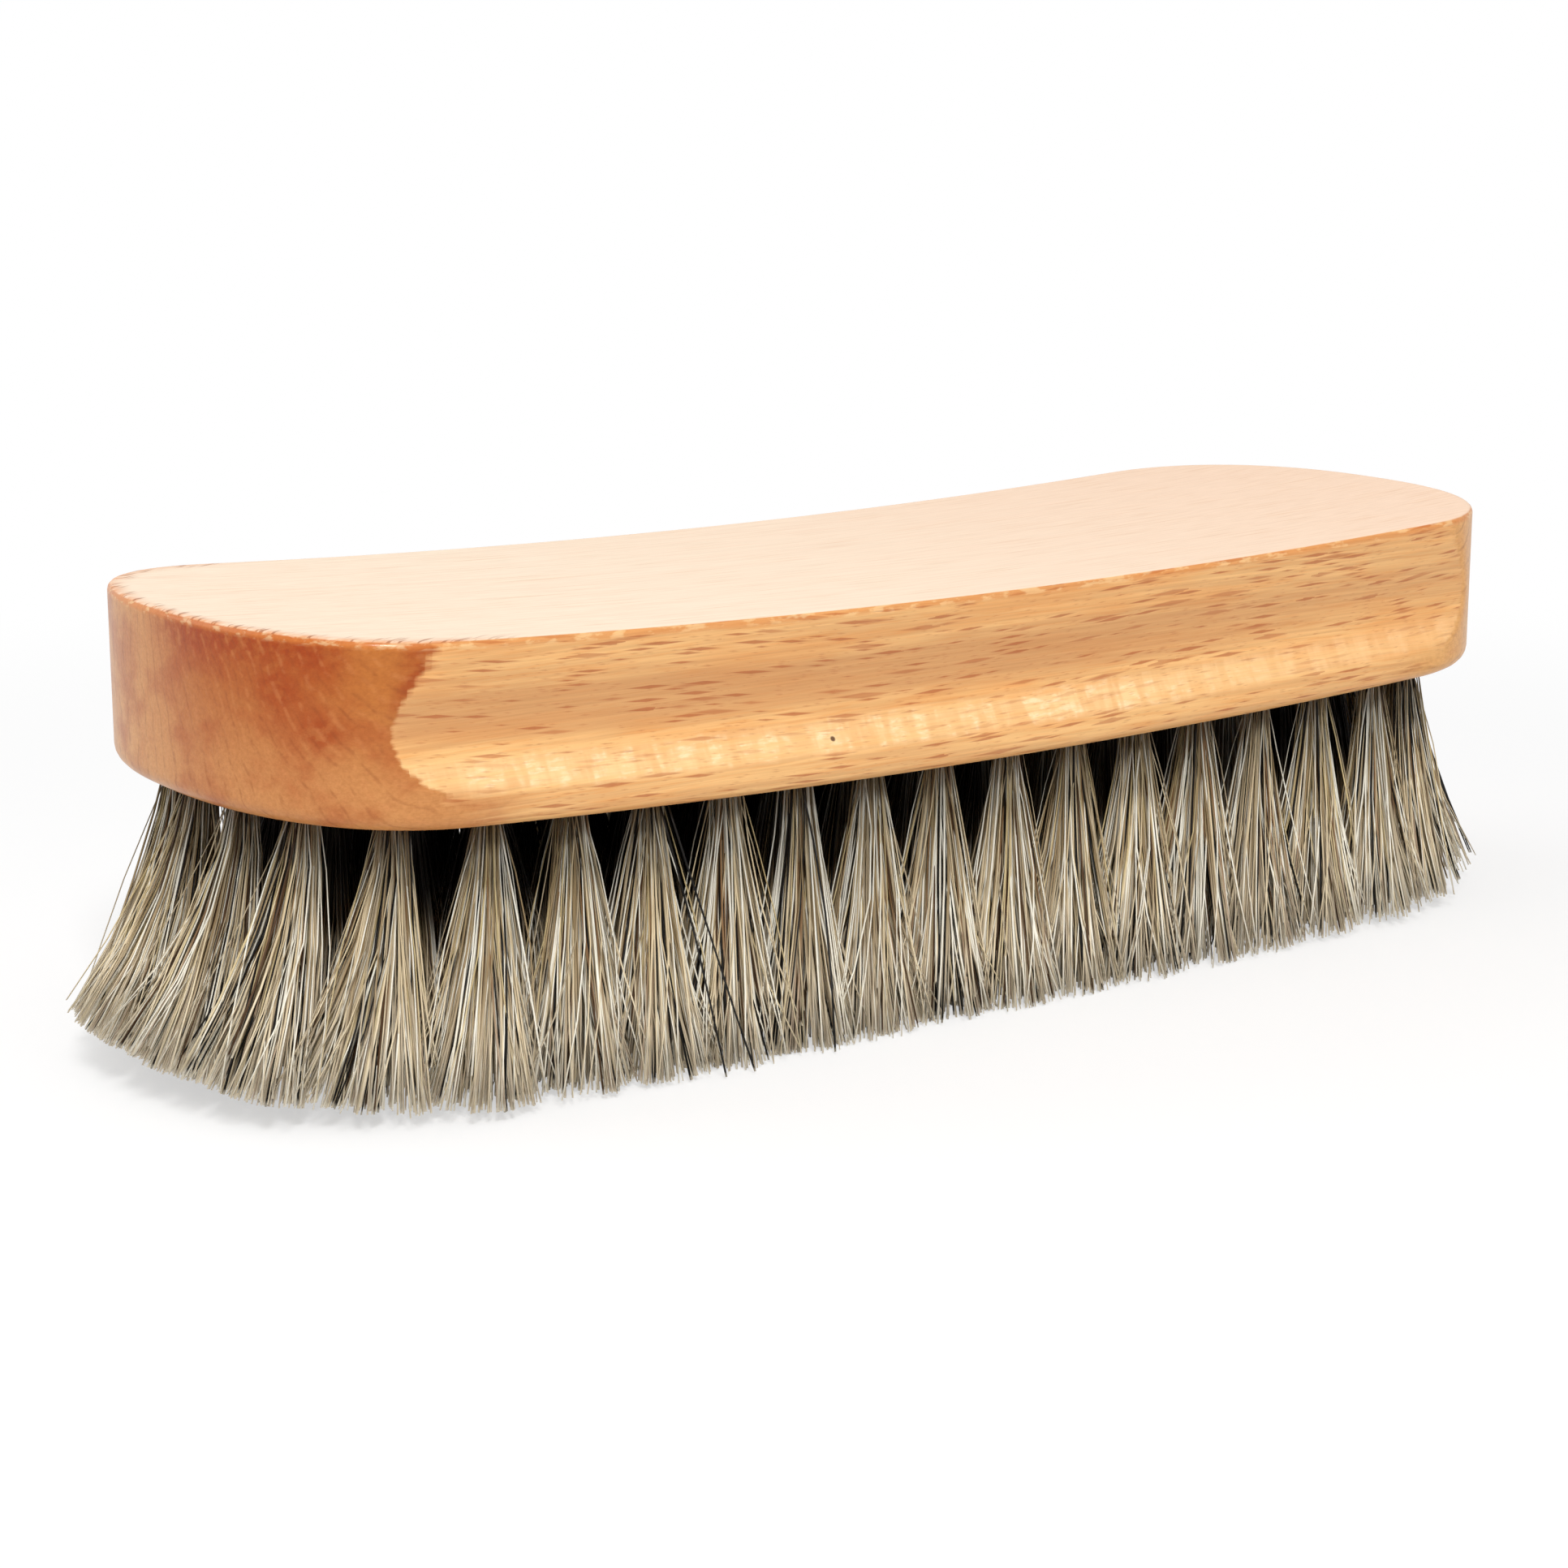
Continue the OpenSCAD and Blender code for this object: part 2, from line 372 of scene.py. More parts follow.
def beechMaterial():
    share, fade = beech["shares"], beech["fades"]
    material, tree, shader = startMaterial("beech", Specular_IOR_Level=0.15, Coat_Roughness=0.14)
    where = addNode(tree, "TexCoord")
    inMm = addNode(tree, "VectorMath", {0: where.outputs["Object"], "Scale": 1 / mm}, operation="SCALE")
    place = inMm.outputs[0]
    x, y, z = addNode(tree, "SeparateXYZ", {0: place}).outputs
    facing = addNode(tree, "SeparateXYZ", {0: where.outputs["Normal"]}).outputs
    endFacing, topFacing = calc(tree, "ABSOLUTE", facing[0]), facing[2]
    depth = readAttribute(tree, "depth")
    alongX = calc(tree, "ABSOLUTE", x)
    alongY = calc(tree, "ABSOLUTE", y)
    # the way down the side and then in under the block, as one length
    inward = multiply(tree, calc(tree, "SUBTRACT", halfWidth / mm, alongY), spread(tree, depth, *fade["under"]))
    downAndIn = calc(tree, "ADD", depth, inward)

    noise = {}
    for name, (stretch, detail) in beech["noises"].items():
        stretched = addNode(tree, "VectorMath", {0: place, 1: stretch}, operation="MULTIPLY").outputs[0]
        texture = addNode(tree, "TexNoise", {"Vector": stretched, "Scale": 1.0, "Detail": detail})
        noise[name] = texture.outputs["Fac"]

    def layer(under, colour, *factors):
        # lays a colour over what is there, as strongly as its factors say together
        return blendColours(tree, multiply(tree, *factors), under, beech[colour])

    def noiseLayers(colour, layers):
        for name, start, full, most, over in layers:
            colour = layer(colour, over, spread(tree, noise[name], start, full, 0.0, most))
        return colour

    def distanceTo(point):
        return addNode(tree, "VectorMath", {0: place, 1: point}, operation="DISTANCE").outputs["Value"]

    def flecks(along, across, kind):
        # stretched cells with pointed marks in some of them
        stretched = addNode(tree, "CombineXYZ", {0: calc(tree, "DIVIDE", along, kind["pitch"]),
                                                 1: calc(tree, "DIVIDE", across, kind["height"])})
        cells = addNode(tree, "TexVoronoi", {"Vector": stretched.outputs[0], "Scale": 1.0},
                        distance="MANHATTAN", voronoi_dimensions="2D")
        pick = addNode(tree, "SeparateColor", {0: cells.outputs["Color"]})
        size = calc(tree, "MULTIPLY_ADD", pick.outputs[0], kind["size"] * 0.6, kind["size"] * 0.4)
        room = calc(tree, "SUBTRACT", size, cells.outputs["Distance"])
        kept = calc(tree, "LESS_THAN", pick.outputs[1], kind["keep"])
        return multiply(tree, spread(tree, room, 0.0, 0.28), kept, kind["share"])

    # the moulded sides: streaks, a band of painted shade where the upper cove faces down, and painted light low
    # in the cove where it faces up
    side = noiseLayers(beech["side"], beech["sideLayers"])
    # painted shade on the upper cove, which faces down, weaker towards the right
    side = layer(side, "sideGreyAndShade", band(tree, depth, *beech["paintedShadeBand"]), spread(tree, x, 0.0, 80.0, 0.65, 0.3))
    # painted light on the lower cove, which faces up, patchy like a gloss
    paintedLightBand = band(tree, depth, *beech["paintedLightBand"])
    side = layer(side, "cove", paintedLightBand, spread(tree, noise["chatter"], 0.3, 0.7, 0.4, 1.0),
                 spread(tree, noise["streaks"], 0.3, 0.55, 0.5, 1.0), spread(tree, x, 20.0, 80.0, 1.0, 0.5))
    # painted highlights: glints of the lacquer in the lit band
    side = layer(side, "coveShine", spread(tree, noise["glint"], 0.46, 0.72),
                 spread(tree, noise["chatter"], 0.42, 0.6), paintedLightBand, spread(tree, x, 10.0, 50.0, 0.6, 0.1))

    # flecks on them, the worn arris above them and one dark pore
    fleckAlong = calc(tree, "ADD", x, multiply(tree, calc(tree, "SIGN", y), beech["behindShift"]))
    fleckAcross = calc(tree, "ADD", downAndIn, multiply(tree, noise["drift"], beech["fleckDrift"]))
    broadAlong = calc(tree, "ADD", fleckAlong, beech["broadShift"])
    large = calc(tree, "MAXIMUM", flecks(broadAlong, fleckAcross, beech["broadFlecks"]),
                 flecks(fleckAlong, fleckAcross, beech["longFlecks"]))
    side = layer(side, "fleck", large, calc(tree, "MULTIPLY_ADD", paintedLightBand, -beech["bandClears"], 1.0))
    side = layer(side, "fleck", flecks(fleckAlong, fleckAcross, beech["smallFlecks"]))
    arris = noiseLayers(beech["arris"], beech["arrisLayers"])
    side = blendColours(tree, spread(tree, depth, *fade["sideArris"], 0.0, share["sideArris"]), side, arris)
    side = layer(side, "pore", spread(tree, distanceTo(beech["poreAt"]), *fade["pore"], 0.0, share["pore"]))

    # the top: pale with painted light and a painted lacquer reflection, paler at the left, peachier at the right,
    # with a darker rim and short ticks round the left end
    top = noiseLayers(layer(beech["top"], "topPeach", spread(tree, x, *fade["topPeach"])), beech["topLayers"])
    pastStraight = calc(tree, "MAXIMUM", calc(tree, "SUBTRACT", alongX, straightLength / mm), 0.001)
    endwards = calc(tree, "POWER", calc(tree, "DIVIDE", pastStraight, block["endLength"] / mm), block["endPower"])
    sidewards = calc(tree, "POWER", calc(tree, "DIVIDE", alongY, halfWidth / mm), block["endPower"])
    edgeward = calc(tree, "ADD", endwards, sidewards)            # 1 on the outline of a rounded end
    nearEnd = spread(tree, x, *fade["leftEnd"])
    top = layer(top, "rim", spread(tree, edgeward, 0.76, 1.02), nearEnd,
                spread(tree, noise["mottle"], 0.3, 0.7, 0.2, 0.9))
    ticks = flecks(calc(tree, "MULTIPLY_ADD", y, beech["tickSlant"], x),
                   calc(tree, "MULTIPLY_ADD", x, -beech["tickSlant"], y), beech["ticks"])
    top = layer(top, "tick", ticks, spread(tree, edgeward, 0.74, 0.9), nearEnd)

    # end grain: blotchy, paler low down, with a painted sheen round the nose, and stained under the arris and
    # next to the side
    end = layer(beech["end"], "endHoney", spread(tree, alongX, *fade["honey"]))
    end = layer(end, "endPaleAndSheen", spread(tree, depth, *fade["lowPale"], 0.0, share["lowPale"]))
    # painted sheen round the nose
    end = layer(end, "endPaleAndSheen", spread(tree, y, *fade["noseSheen"], 0.0, share["noseSheen"]))
    end = noiseLayers(end, beech["endLayers"])
    stain = multiply(tree, spread(tree, depth, *fade["stainDown"]), spread(tree, alongX, *fade["stainAlong"]),
                     spread(tree, y, *fade["stainAcross"]))
    for spot in beech["stains"]:
        stain = calc(tree, "MAXIMUM", stain, spread(tree, distanceTo(spot["at"]), spot["reach"], 0.0))
    byTheSide = multiply(tree, spread(tree, endFacing, 0.5, 0.2, 0.0, share["sideStain"]),
                         spread(tree, depth, *fade["sideStainDown"]))
    stain = calc(tree, "MAXIMUM", stain, byTheSide)
    end = layer(end, "endDeep", stain, spread(tree, noise["mottle"], 0.34, 0.58, 0.45, 1.0), share["stain"])
    end = layer(end, "rightEnd", spread(tree, x, *fade["rightEnd"], 0.0, share["rightEnd"]))

    # slanted lines across it, dark ones and pale ones where the dark ones break off
    lean = spread(tree, y, *fade["lineLean"], 0.0, beech["lineLean"])
    linePlace = calc(tree, "ADD", y, multiply(tree, lean, calc(tree, "SUBTRACT", z, beech["lineMiddle"])))
    wandering = calc(tree, "MULTIPLY_ADD", noise["cloud"], beech["lineWander"], linePlace)
    lineWave = calc(tree, "FRACT", calc(tree, "DIVIDE", wandering, beech["linePitch"]))
    offLine = calc(tree, "ABSOLUTE", calc(tree, "SUBTRACT", lineWave, 0.5))
    broken = spread(tree, noise["mottle"], 0.38, 0.62)
    end = layer(end, "line", spread(tree, offLine, 0.12, 0.02), broken, share["lines"])
    end = layer(end, "paleLine", spread(tree, offLine, 0.32, 0.48), calc(tree, "SUBTRACT", 1.0, broken),
                share["paleLines"])
    specks = colourRamp(tree, noise["speck"], [(0.36, beech["speckTint"]), (0.6, white)])
    end = blendColours(tree, share["speck"], end, specks, "MULTIPLY")
    end = blendColours(tree, spread(tree, depth, *fade["endArris"], 0.0, share["endArris"]), end, arris)

    # which kind of face this is comes from the way it points, and faces that look up get the top's colours with
    # their painted light; low on the block the end grain creeps further in
    ragged = calc(tree, "SUBTRACT", noise["streaks"], 0.5)
    turning = calc(tree, "MULTIPLY_ADD", ragged, beech["borderRagged"], endFacing)
    turned = spread(tree, turning, *beech["endFacing"])
    creeping = calc(tree, "MULTIPLY_ADD", ragged, beech["creepRagged"], alongX)
    creep = multiply(tree, spread(tree, creeping, *fade["creepAlong"]), spread(tree, depth, *fade["creepDown"]))
    colour = blendColours(tree, calc(tree, "MAXIMUM", turned, creep), side, end)
    colour = blendColours(tree, spread(tree, topFacing, *beech["topFacing"]), colour, top)
    fine = colourRamp(tree, noise["fine"], [(0.3, beech["fineTint"]), (0.62, white)])
    tree.links.new(blendColours(tree, share["fine"], colour, fine, "MULTIPLY"), shader.inputs["Base Color"])

    tree.links.new(spread(tree, topFacing, *beech["topFacing"], *beech["coat"]), shader.inputs["Coat Weight"])
    tree.links.new(spread(tree, topFacing, *beech["topFacing"], *beech["roughness"]), shader.inputs["Roughness"])
    coarse = calc(tree, "ADD", noise["streaks"], noise["mottle"])
    relief = calc(tree, "ADD", noise["fine"], multiply(tree, coarse, 1.5))
    bump = addNode(tree, "Bump", {"Height": relief, "Strength": beech["bumpStrength"],
                                  "Distance": beech["bumpHeight"]})
    tree.links.new(bump.outputs[0], shader.inputs["Normal"])
    return material


print("making the block")
makeBlock(beechMaterial())


# the tufts of horsehair, in three rings of holes

holes = {
    "sideInset": 5.2 * mm,        # from the long sides to the outer ring
    "endInset": 7.5 * mm,         # and from the ends
    "pitch": 9.8 * mm,
    "corner": 20 * mm,            # radius of the outer ring's corners
}
sides = ["front_row", "right_end", "back_row", "left_end"]
# along and across: how far the tips fan out from the middle of a tuft; flare: 1 for hair that runs straight
# shade: how much painted shade a ring's hair gets near the block
rings = [
    {"name": "outer", "locks": 60, "along": 7.2 * mm, "across": 5.2 * mm, "shade": 0.0, "flare": 0.4},
    {"name": "middle", "locks": 48, "along": 6.6 * mm, "across": 6.2 * mm, "shade": 0.85, "flare": 0.92},
    {"name": "inner", "locks": 38, "along": 6.4 * mm, "across": 6.4 * mm, "shade": 1.0, "flare": 0.95},
]
rowPitch = 2 * (halfWidth - holes["sideInset"]) / (2 * len(rings) - 1)
hair = {
    "radius": 0.128 * mm,
    "levels": 4,                  # straight lengths in a hair
    "inside": 2.0 * mm,           # how far the roots reach up the hole
    "bundle": 1.85 * mm,          # the bunch where it leaves the hole
    "bundleAim": 0.4,             # how far a root stands to the side that its tip leans to
    "bundleSpread": 0.25,
    "perLock": 6,                 # neighbouring hairs that run together
    # a lock as a whole: how its tips gather in the middle, how far its root and its bend may be off, its tone
    "lock": {"gather": 1.2, "root": 0.35, "sway": 0.7, "tone": (0.26, 1)},
    # a hair in its lock, and a stray that goes its own way
    "lockHair": {"gather": 1.0, "spread": 0.11, "sway": 0.4, "radius": (0.7, 1.2)},
    "stray": {"gather": 0.7, "spread": 1.3, "sway": 2.0, "radius": (0.55, 0.9)},
    "strayShare": 0.16,
    "strayTone": (0.4, 1),
    "ownTone": 0.6,               # the share of a lock's hairs that don't have its tone
    "tuftShade": 0.3,             # how much darker some tufts are than others
    "trim": 0.5 * mm,
    "ragged": 0.4 * mm,           # how much too short the hairs are, on average
    "brokenShare": 0.03,          # of the hairs
    "brokenBy": (1, 5),           # mm
    "shortest": 6 * mm,           # no tip ends higher than this over the cut
    "sideSplay": 0.6 * mm,        # how far the outer tufts lean out
    "leftSplay": 10.0 * mm,
    "rightSplay": 8.5 * mm,
    "splayPower": 6,              # higher keeps the lean closer to the ends
    "lift": 3.6 * mm,             # how far a tip rises where the hair leans out by liftReach
    "liftReach": 15 * mm,
    "seed": 11,
    "blackHairs": {               # long loose ones in the front row: roots and tips in mm
        "paths": [
            ((-44.2, -27.6), (-35.9, -32.8)), ((-45.0, -27.4), (-39.6, -32.6)), ((-26.0, -27.2), (-24.5, -32.2)),
        ],
        "sway": (0.6, -1.8), "bottom": 0.3 * mm, "thickness": 1.2, "tone": 0.05,
    },
}


def ringSize(k):
    # half the length and width of ring k, and the radius of its corners
    inward = k * rowPitch
    return (halfLength - holes["endInset"] - inward, halfWidth - holes["sideInset"] - inward,
            max(0, holes["corner"] - inward))


def ringPlace(k, distance):
    # the point and the outward direction at a distance along ring k, from the middle of the near side
    length, width, corner = ringSize(k)
    bend = math.pi * corner / 2
    quarter = (length - corner) + (width - corner) + bend
    part = int(distance // quarter)
    u = distance - part * quarter if part % 2 == 0 else (part + 1) * quarter - distance
    if u <= length - corner:
        point, out = Vector((u, width)), Vector((0, 1))
    elif u < length - corner + bend:
        turn = math.radians(90 * (1 - (u - length + corner) / bend))
        out = Vector((math.cos(turn), math.sin(turn)))
        point = Vector((length - corner, width - corner)) + corner * out
    else:
        point, out = Vector((length, width - corner - (u - length + corner - bend))), Vector((1, 0))
    flip = Vector((1 if part < 2 else -1, -1 if part in (0, 3) else 1))
    return point * flip, out * flip


def tuftPlaces(k, side):
    # the tufts of one side of ring k; every other ring is shifted by half a step
    length, width, corner = ringSize(k)
    around = 4 * ((length - corner) + (width - corner) + math.pi * corner / 2)
    count = 2 * round(around / 2 / holes["pitch"])
    shift = 0.5 if k % 2 == 0 else 0
    for point, out in [ringPlace(k, (i + shift) * around / count) for i in range(count)]:
        if abs(point.x) >= length - corner - roundingError:
            found = "right_end" if point.x > 0 else "left_end"
        else:
            found = "front_row" if point.y < 0 else "back_row"
        if sides[side] == found:
            yield point, out


def tipHeight(x):
    return max(0, bowRise(x) - hair["trim"])


def hairTemplate():
    # one straight hair of three sides, a unit long, with its tip at the bottom
    bm = bmesh.new()
    bmesh.ops.create_circle(bm, cap_ends=True, radius=1, segments=3)
    ends = bm.faces[:]
    for level in range(hair["levels"]):
        grown = bmesh.ops.extrude_face_region(bm, geom=ends)["geom"]
        ends = [item for item in grown if isinstance(item, bmesh.types.BMFace)]
        bmesh.ops.translate(bm, verts=ends[0].verts[:], vec=(0, 0, 1 / hair["levels"]))
    bmesh.ops.recalc_face_normals(bm, faces=bm.faces[:])
    for face in bm.faces:
        face.smooth = len(face.verts) == 4
    return meshFrom(bm, "one_hair")


def inDisc(dice, gather=1.0):
    # a random point in a disc of radius 1, more of them near the middle as gather grows
    reach = dice.random() ** (0.5 * gather)
    turn = dice.uniform(0, 2 * math.pi)
    return Vector((reach * math.cos(turn), reach * math.sin(turn)))


def pickTone(dice, stray, lockTone):
    if stray:
        return dice.uniform(*hair["strayTone"])
    return dice.random() if dice.random() < hair["ownTone"] else lockTone


def shortBy(dice, lean):
    # how far a tip ends above the cut: leaning hair doesn't reach down, and a few hairs are broken
    lifted = hair["lift"] * (lean / hair["liftReach"]) ** 4
    uneven = dice.expovariate(1 / hair["ragged"])
    broken = (dice.random() < hair["brokenShare"]) * dice.uniform(*hair["brokenBy"]) * mm
    return min(lifted + uneven + broken, hair["shortest"])


def tuftHairs(k, point, out, dice):
    # the hairs of the tuft at a point, lock by lock
    ring, lock = rings[k], hair["lock"]
    along = Vector((-out.y, out.x))
    splay = hair["rightSplay"] if point.x > 0 else hair["leftSplay"]
    splay *= (abs(point.x) / ringSize(0)[0]) ** hair["splayPower"]
    middle = Vector((point.x + math.copysign(splay, point.x),
                     point.y + hair["sideSplay"] * point.y / ringSize(0)[1]))
    tuftShade = dice.random() * hair["tuftShade"]
    for lockNumber in range(ring["locks"]):
        lockAim, lockTone = inDisc(dice, lock["gather"]), dice.uniform(*lock["tone"])
        lockRoot, lockSway = inDisc(dice) * lock["root"], inDisc(dice) * lock["sway"]
        for hairNumber in range(hair["perLock"]):
            stray = dice.random() < hair["strayShare"]
            kind = hair["stray" if stray else "lockHair"]
            aim = inDisc(dice, kind["gather"]) * kind["spread"]
            if not stray:
                aim += lockAim
            aim.y = min(aim.y, 1.0)
            bunch = (along * aim.x + out * aim.y) * hair["bundleAim"] + lockRoot
            bunch += inDisc(dice) * hair["bundleSpread"]
            tip = middle + along * (aim.x * ring["along"]) + out * (aim.y * ring["across"])
            yield {
                "root": point + bunch * hair["bundle"], "tip": tip,
                "top": block["underside"] + bowRise(point.x) + hair["inside"],
                "bottom": tipHeight(tip.x) + shortBy(dice, (tip - point).length),
                "sway": (lockSway + inDisc(dice) * kind["sway"]) * mm,
                "radius": hair["radius"] * dice.uniform(*kind["radius"]),
                "turn": dice.uniform(0, 2 * math.pi),
                "shade": ring["shade"] + tuftShade,
                "tone": pickTone(dice, stray, lockTone),
            }


def blackHairs():
    black = hair["blackHairs"]
    for root, tip in black["paths"]:
        yield {
            "root": Vector(root) * mm, "tip": Vector(tip) * mm, "sway": Vector(black["sway"]) * mm,
            "top": block["underside"] + hair["inside"], "bottom": black["bottom"],
            "radius": black["thickness"] * hair["radius"], "turn": 0, "shade": 0, "tone": black["tone"],
        }


def makeTufts(k, side, template, material):
    dice = random.Random(hair["seed"] + 10 * k + side)
    runs = [run for point, out in tuftPlaces(k, side) for run in tuftHairs(k, point, out, dice)]
    if k == 0 and sides[side] == "front_row":
        runs += blackHairs()
    bm = bmesh.new()
    for run in runs:
        bm.from_mesh(template)
    toneLayer = bm.verts.layers.float.new("hairTone")
    alongLayer = bm.verts.layers.float.new("hairLength")
    shadeLayer = bm.verts.layers.float.new("hairShade")
    bm.verts.ensure_lookup_table()
    perHair = len(template.vertices)
    flare = rings[k]["flare"]
    for number, run in enumerate(runs):
        cosTurn, sinTurn = math.cos(run["turn"]) * run["radius"], math.sin(run["turn"]) * run["radius"]
        for vert in bm.verts[number * perHair:(number + 1) * perHair]:
            u, v, up = vert.co
            t = 1 - up
            fan = flare * t + (1 - flare) * t * t
            place = run["root"].lerp(run["tip"], fan) + run["sway"] * math.sin(math.pi * t)
            vert.co = (place.x + u * cosTurn - v * sinTurn, place.y + u * sinTurn + v * cosTurn,
                       run["top"] + (run["bottom"] - run["top"]) * t)
            vert[toneLayer] = run["tone"]
            vert[alongLayer] = t
            vert[shadeLayer] = run["shade"]
    node = f"{rings[k]['name']}_{sides[side]}_tufts"
    finishPiece(bm, node.replace("tufts", "hair"), node, material)


horsehair = {
    "tones": [
        (0.00, paint(14, 11, 8)), (0.20, paint(84, 60, 38)), (0.28, paint(156, 122, 86)),
        (0.35, paint(170, 148, 112)), (0.50, paint(232, 214, 178)), (0.66, paint(184, 168, 140)),
        (0.74, paint(216, 196, 148)), (0.79, paint(255, 252, 238)),
    ],
    "darkTones": 0.28,            # the tones up to here don't pale towards the tip
    # painted light towards the tips: how far pale hairs pale, and the colour they pale to, which the cut ends
    # have too
    "litTip": 0.4,
    "litTipAndCutEnd": paint(251, 241, 220),
    "cutShare": 0.5,
    # painted shade, where the hair leaves the block and deep inside the tufts
    "shaded": paint(26, 20, 15),
    "rootShade": 0.7,
    "mottleTint": (0.80, 0.77, 0.72, 1),
    "mottleScale": 260.0,
}


def horsehairMaterial():
    material, tree, shader = startMaterial("horsehair", Roughness=0.42, Specular_IOR_Level=0.2)
    length = readAttribute(tree, "hairLength")
    tone = readAttribute(tree, "hairTone")
    colour = colourRamp(tree, tone, horsehair["tones"], "CONSTANT")
    where = addNode(tree, "TexCoord").outputs["Object"]
    mottle = addNode(tree, "TexNoise", {"Vector": where, "Scale": horsehair["mottleScale"], "Detail": 2.0})
    tint = colourRamp(tree, mottle.outputs["Fac"], [(0.3, horsehair["mottleTint"]), (0.7, white)])
    colour = blendColours(tree, 1.0, colour, tint, "MULTIPLY")
    # painted shade: the inner tufts are dark where they leave the block, the outer ones only just under it
    inward = multiply(tree, readAttribute(tree, "hairShade"), spread(tree, length, 0.75, 0.3))
    under = spread(tree, length, 0.42, 0.05, 0.0, horsehair["rootShade"])
    colour = blendColours(tree, calc(tree, "MAXIMUM", inward, under), colour, horsehair["shaded"])
    # painted light: pale hairs grow paler towards the tip, where more light reaches them, while dark ones stay
    # dark up to the cut
    tipLighting = multiply(tree, spread(tree, length, 0.5, 1.0, 0.0, horsehair["litTip"]),
                    calc(tree, "GREATER_THAN", tone, horsehair["darkTones"]))
    colour = blendColours(tree, tipLighting, colour, horsehair["litTipAndCutEnd"])
    cut = spread(tree, length, 0.98, 0.995, 0.0, horsehair["cutShare"])
    tree.links.new(blendColours(tree, cut, colour, horsehair["litTipAndCutEnd"]), shader.inputs["Base Color"])
    return material


print("making the hair")
oneHair = hairTemplate()
hairMaterial = horsehairMaterial()
for k in range(len(rings)):
    for side in range(len(sides)):
        makeTufts(k, side, oneHair, hairMaterial)
bpy.data.meshes.remove(oneHair)


# the flat anchors, out of sight in their holes

anchors = {
    "scratchStretch": (400, 9000, 9000),
    "colours": (paint(150, 152, 156), paint(196, 198, 202)),
    "roughness": (0.28, 0.45),
}


def anchorMaterial():
    material, tree, shader = startMaterial("anchor_steel", Metallic=1.0)
    where = addNode(tree, "TexCoord").outputs["Object"]
    stretched = addNode(tree, "VectorMath", {0: where, 1: anchors["scratchStretch"]}, operation="MULTIPLY")
    texture = addNode(tree, "TexNoise", {"Vector": stretched.outputs[0], "Scale": 1.0, "Detail": 3.0})
    scratches = texture.outputs["Fac"]
    dark, pale = anchors["colours"]
    tree.links.new(colourRamp(tree, scratches, [(0.3, dark), (0.7, pale)]), shader.inputs["Base Color"])
    tree.links.new(spread(tree, scratches, 0.3, 0.7, *anchors["roughness"]), shader.inputs["Roughness"])
    return material


print("finishing the anchors")
steel = anchorMaterial()
for name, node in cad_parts.items():
    if name.endswith("_anchors"):
        node.data.materials.clear()
        node.data.materials.append(steel)


# the sweep, the lamps and the camera

studio = {
    "floorSize": 6.0,
    "floorColour": (0.99, 0.99, 0.99, 1),
    "floorGlow": 0.55,            # how far the camera sees the floor near the brush as plain white
    "glowReach": (0.12, 0.3),     # between these distances it turns all white
    "worldStrength": 0.3,
    "lamps": [
        {"name": "top_lamp", "at": (-0.1, -0.15, 0.95), "size": 0.8, "power": 2.0},
        {"name": "front_lamp", "at": (-0.42, -0.72, 0.85), "size": 0.25, "power": 9.0},
        {"name": "back_lamp", "at": (-0.8, 0.7, 0.6), "size": 0.8, "power": 3.0},
    ],
    "aim": (0, 0, 0.03),
}


def backgroundRays(tree):
    rays = addNode(tree, "LightPath")
    direct = calc(tree, "MAXIMUM", rays.outputs["Is Camera Ray"], rays.outputs["Is Glossy Ray"])
    return calc(tree, "MAXIMUM", direct, rays.outputs["Is Transmission Ray"])


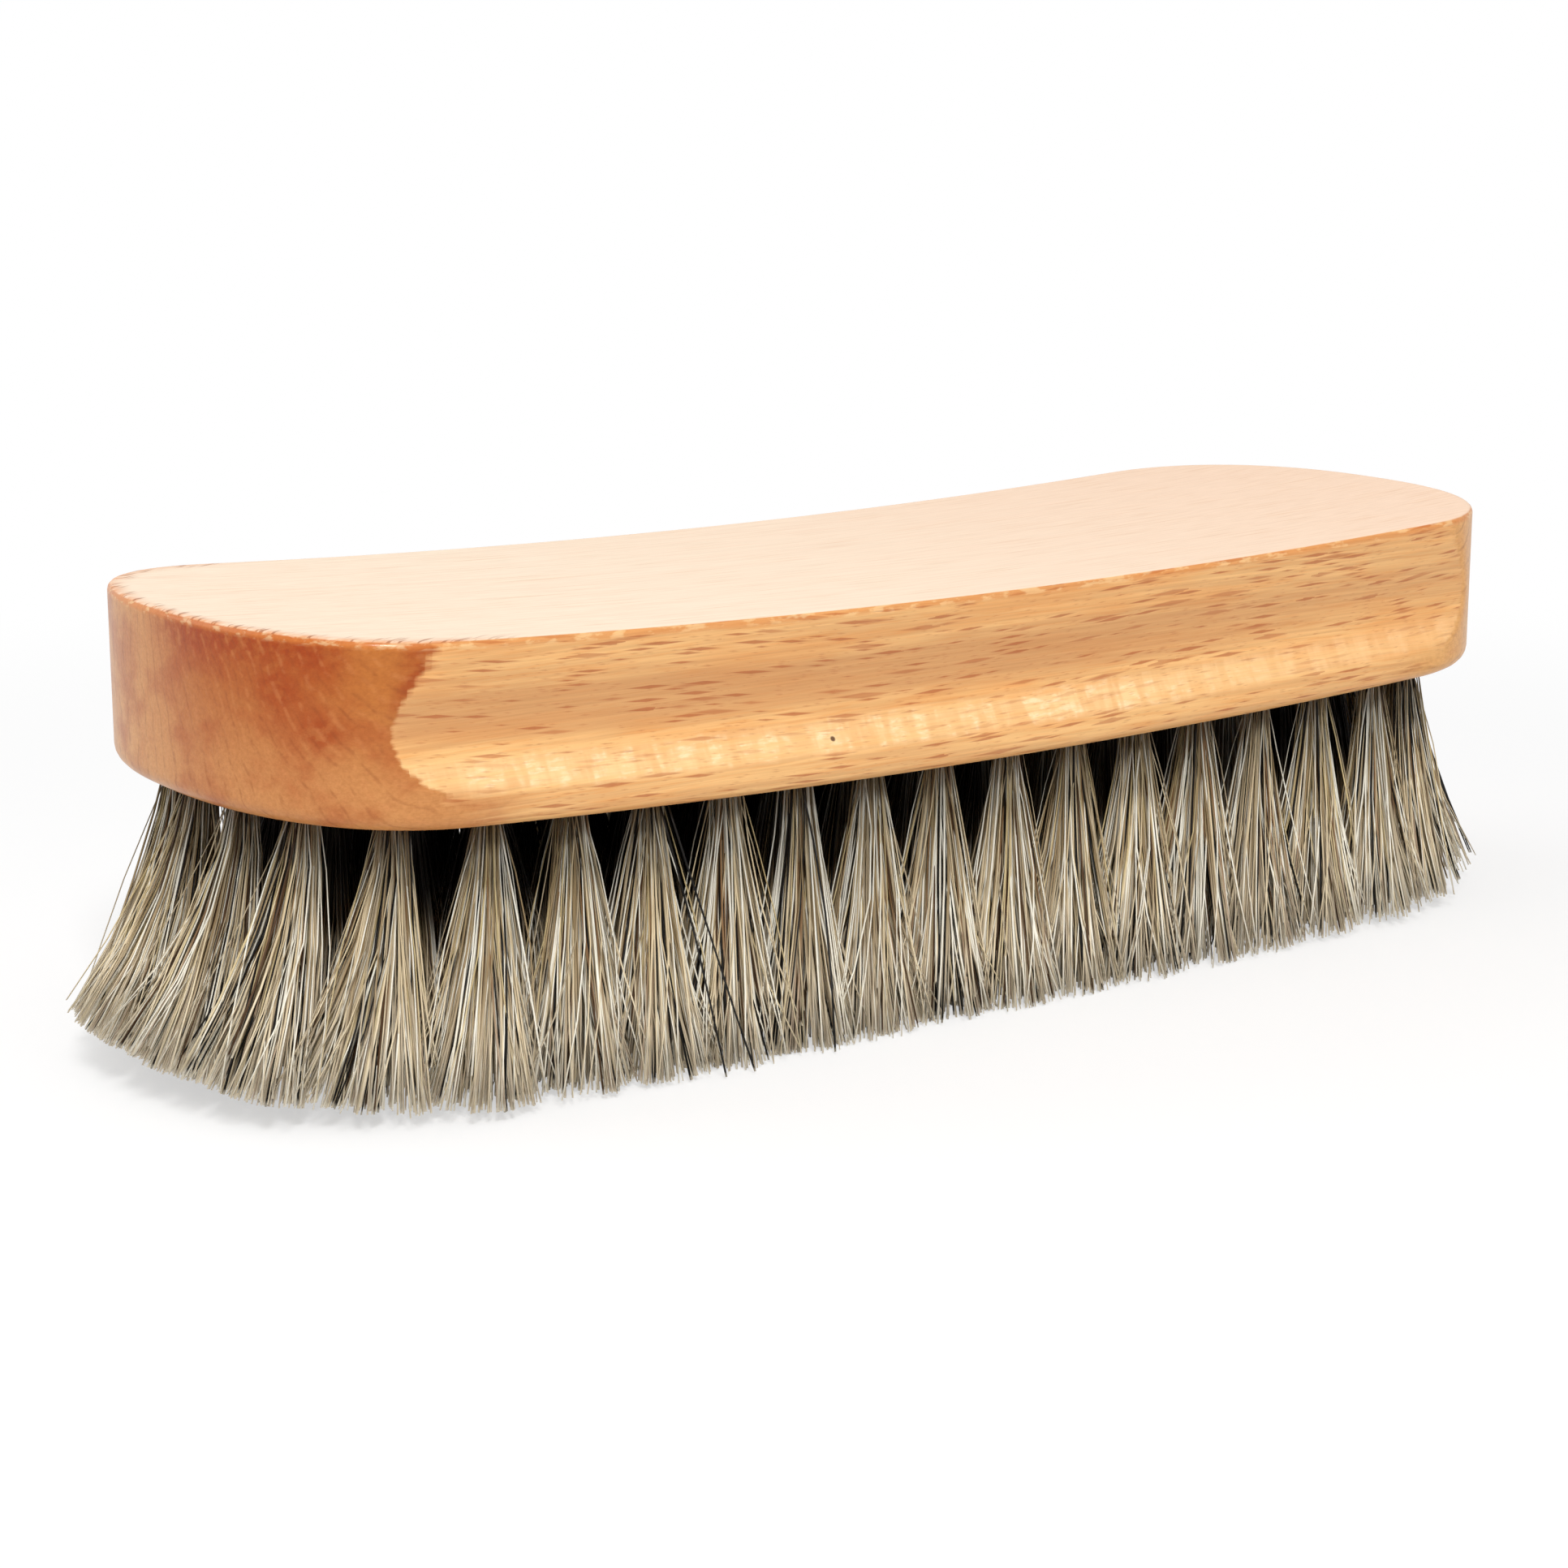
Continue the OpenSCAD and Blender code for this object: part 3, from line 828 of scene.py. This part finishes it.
def makeFloor():
    bm = bmesh.new()
    bmesh.ops.create_grid(bm, x_segments=1, y_segments=1, size=studio["floorSize"] / 2)
    mesh = meshFrom(bm, "sweep")
    material, tree, shader = startMaterial("sweep_paper", Base_Color=studio["floorColour"], Roughness=0.9)
    glow = addNode(tree, "Emission", {"Color": white, "Strength": 1.0})
    where = addNode(tree, "TexCoord").outputs["Object"]
    away = addNode(tree, "VectorMath", {0: where}, operation="LENGTH").outputs["Value"]
    glowing = spread(tree, away, *studio["glowReach"], studio["floorGlow"], 1.0)
    share = multiply(tree, backgroundRays(tree), glowing)
    mix = addNode(tree, "MixShader", {0: share, 1: shader.outputs[0], 2: glow.outputs[0]})
    # clear from below, so that the underside can be looked at
    below = addNode(tree, "NewGeometry").outputs["Backfacing"]
    clear = addNode(tree, "BsdfTransparent")
    mix = addNode(tree, "MixShader", {0: below, 1: mix.outputs[0], 2: clear.outputs[0]})
    tree.links.new(mix.outputs[0], tree.nodes["Material Output"].inputs["Surface"])
    mesh.materials.append(material)
    addObject("sweep", mesh)


def makeLight():
    world = bpy.data.worlds.new("studio")
    world.use_nodes = True
    bpy.context.scene.world = world
    tree = world.node_tree
    strength = spread(tree, backgroundRays(tree), 0.0, 1.0, studio["worldStrength"], 1.0)
    tree.links.new(strength, tree.nodes["Background"].inputs["Strength"])
    tree.nodes["Background"].inputs["Color"].default_value = white
    for lamp in studio["lamps"]:
        data = bpy.data.lights.new(lamp["name"], "AREA")
        data.size = lamp["size"]
        data.energy = lamp["power"]
        light = addObject(lamp["name"], data)
        light.location = lamp["at"]
        towards = Vector(studio["aim"]) - Vector(lamp["at"])
        light.rotation_euler = towards.to_track_quat("-Z", "Y").to_euler()


camera = {
    "azimuth": -36.61,            # degrees, from straight in front of the long side
    "elevation": 11.69,
    "roll": 0.17,
    "distance": 403.275 * mm,
    "panSide": -0.017,            # radians
    "panUp": -0.02,
    "lens": 75.9,
    "sensorWidth": 36,
    "clipStart": 10 * mm,
}


def makeCamera():
    azimuth, elevation = math.radians(camera["azimuth"]), math.radians(camera["elevation"])
    back = Vector((math.sin(azimuth) * math.cos(elevation), -math.cos(azimuth) * math.cos(elevation),
                   math.sin(elevation)))
    right = Vector((0, 0, 1)).cross(back).normalized()
    turn = Matrix((right, back.cross(right), back)).transposed()
    turn = turn @ Matrix.Rotation(math.radians(camera["roll"]), 3, "Z")
    turn = turn @ Matrix.Rotation(-camera["panSide"], 3, "Y") @ Matrix.Rotation(camera["panUp"], 3, "X")
    data = bpy.data.cameras.new("camera")
    data.sensor_width = camera["sensorWidth"]
    data.lens = camera["lens"]
    data.clip_start = camera["clipStart"]
    eye = addObject("camera", data)
    place = back * camera["distance"] + Vector((0, 0, block["underside"]))
    eye.matrix_world = Matrix.LocRotScale(place, turn, None)
    bpy.context.scene.camera = eye


print("setting up the studio")
makeFloor()
makeLight()
makeCamera()
bpy.context.scene.view_settings.view_transform = "Standard"
